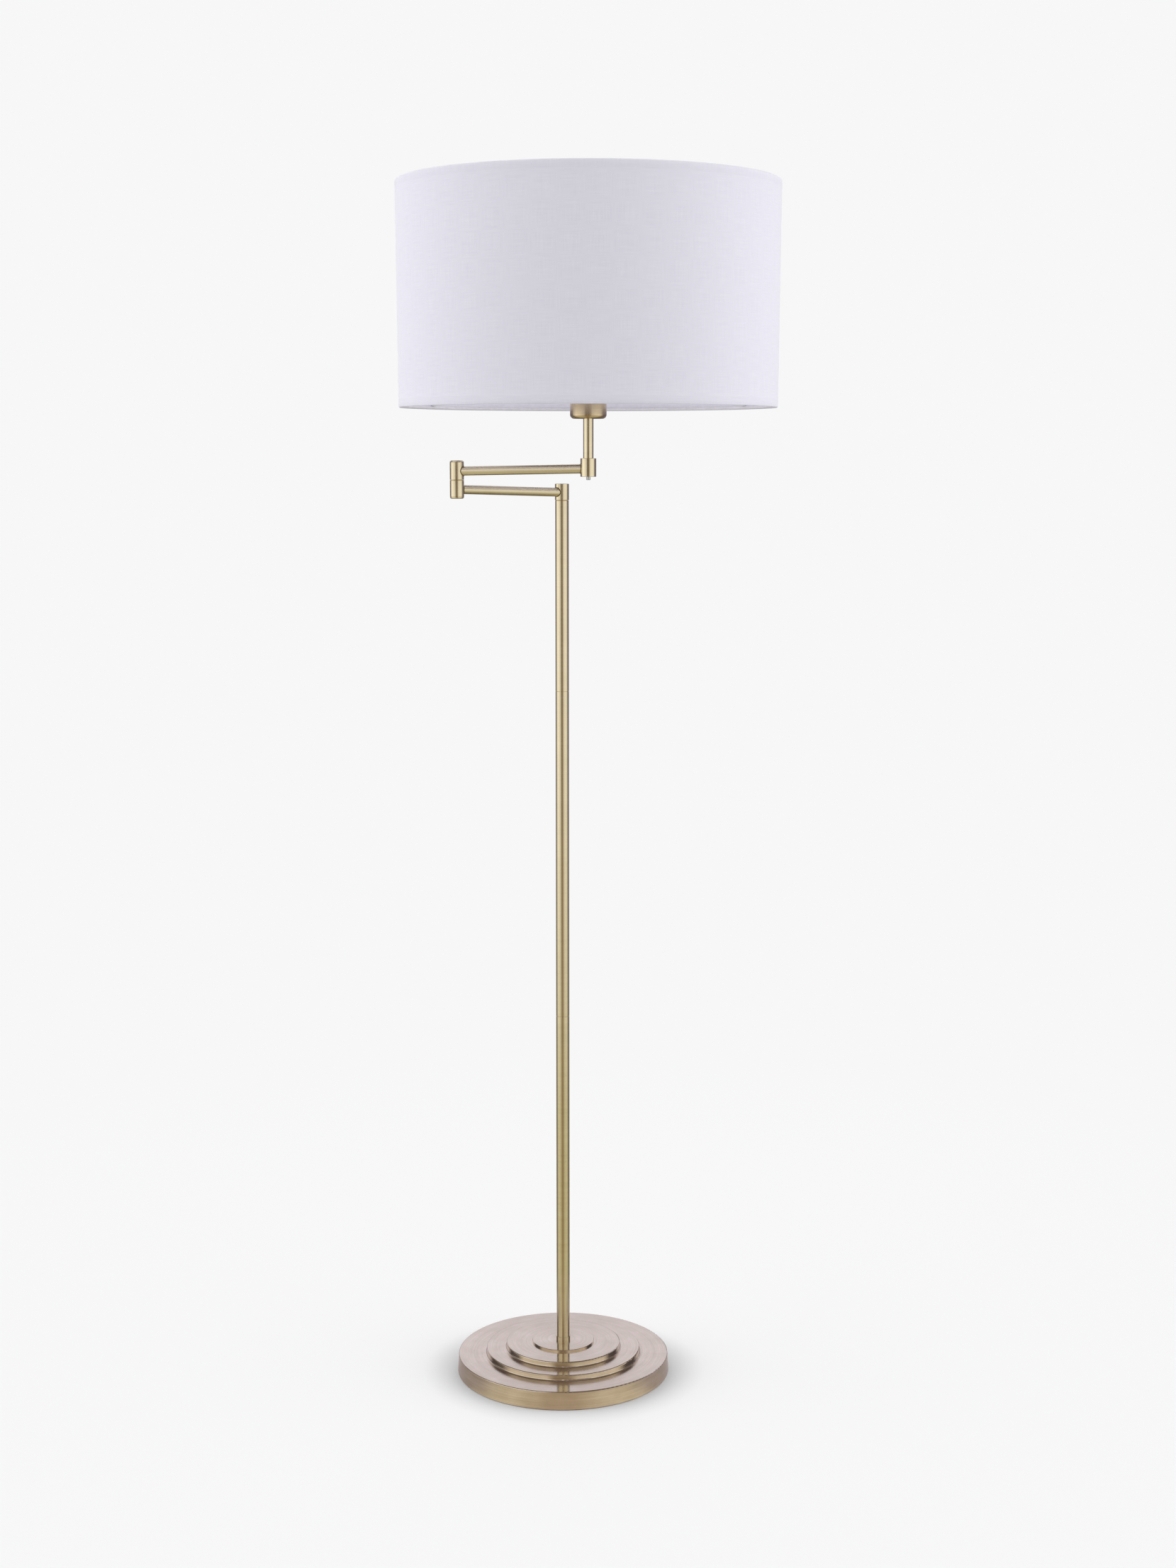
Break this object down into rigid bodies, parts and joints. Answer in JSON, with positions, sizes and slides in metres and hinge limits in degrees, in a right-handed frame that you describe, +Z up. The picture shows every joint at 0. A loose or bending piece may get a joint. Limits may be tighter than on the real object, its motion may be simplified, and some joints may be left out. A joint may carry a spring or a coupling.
{
  "type": "swing-arm floor lamp",
  "caption": "Free-standing floor lamp with a weighted stepped round base, jointed pole, hinged double swing arm and upright drum shade.",
  "frame": {"origin": "the centre of the base's underside, on the pole's axis, at floor level", "axes": "+Z is up, along the pole; +Y points away from the viewer, towards the cable inlet; +X is to the viewer's right"},
  "size_m": [0.452, 0.5133, 1.512],
  "materials": {
    "brass_spun": "spun, antique lacquered",
    "brass_tube": "drawn, antique lacquered",
    "turned_brass": "turned, bare",
    "weight_iron": "painted black",
    "felt": "felt",
    "zinc_steel": "zinc plated",
    "black_plastic": "matt",
    "bronze": "turned, oiled",
    "flex_jacket": "satin",
    "lampholder_black": "satin",
    "nickel_shell": "nickel plated",
    "opal_glass": "opal",
    "shade_linen": "plain weave",
    "shade_liner_film": "satin film",
    "white_wire": "powder coated"
  },
  "bodies": {
    "stand": {"base_cover": "brass_spun", "base_weight": "weight_iron", "base_felt": "felt", "base_top_disc": "brass_spun", "base_washer": "zinc_steel", "base_nut": "zinc_steel", "base_nipple": "zinc_steel", "cable_bush": "black_plastic", "terminal_block": "black_plastic", "pole_collar": "brass_tube", "pole_lower": "brass_tube", "pole_middle": "brass_tube", "pole_upper": "brass_tube", "pole_foot_insert": "turned_brass", "pole_coupler_lower": "turned_brass", "pole_coupler_upper": "turned_brass", "pole_top_insert": "turned_brass", "head_stop_pin": "zinc_steel", "head_washer": "bronze", "inner_flex_pole": "flex_jacket"},
    "lower_swing_arm": {"head_barrel": "brass_tube", "head_cap": "brass_tube", "head_pivot": "turned_brass", "head_spring_washer": "zinc_steel", "head_pivot_nut": "zinc_steel", "lower_arm": "brass_tube", "elbow_lower_barrel": "brass_tube", "elbow_bottom_cap": "brass_tube", "elbow_stop_pin": "zinc_steel", "elbow_washer": "bronze", "elbow_pivot": "turned_brass", "elbow_spring_washer": "zinc_steel", "elbow_pivot_nut": "zinc_steel", "inner_flex_lower_arm": "flex_jacket"},
    "upper_swing_arm": {"elbow_upper_barrel": "brass_tube", "elbow_top_cap": "brass_tube", "upper_arm": "brass_tube", "holder_barrel": "brass_tube", "holder_barrel_plug": "brass_tube", "barrel_screw": "zinc_steel", "stem_nipple": "zinc_steel", "stem_tube": "brass_tube", "holder_cup": "brass_tube", "cup_nipple": "zinc_steel", "cup_nut": "zinc_steel", "lampholder_body": "lampholder_black", "lampholder_shell": "nickel_shell", "lampholder_contact": "nickel_shell", "shade_clamp_ring": "black_plastic", "bulb_cap": "nickel_shell", "bulb_glass": "opal_glass", "shade_fabric": "shade_linen", "shade_liner": "shade_liner_film", "shade_ring_bottom": "white_wire", "shade_ring_top": "white_wire", "spider_washer": "white_wire", "spider_spokes": "white_wire", "inner_flex_upper_arm": "flex_jacket"}
  },
  "joints": [
    {"name": "head_swivel", "type": "hinge", "parent": "stand", "child": "lower_swing_arm", "pos_m": [0, 0, 1.1401], "axis": [0, 0, 1], "range_deg": [-160, 160]},
    {"name": "elbow_swing", "type": "hinge", "parent": "lower_swing_arm", "child": "upper_swing_arm", "pos_m": [-0.12563, -0.10542, 1.1665], "axis": [0, 0, 1], "range_deg": [-125, 195]}
  ]
}
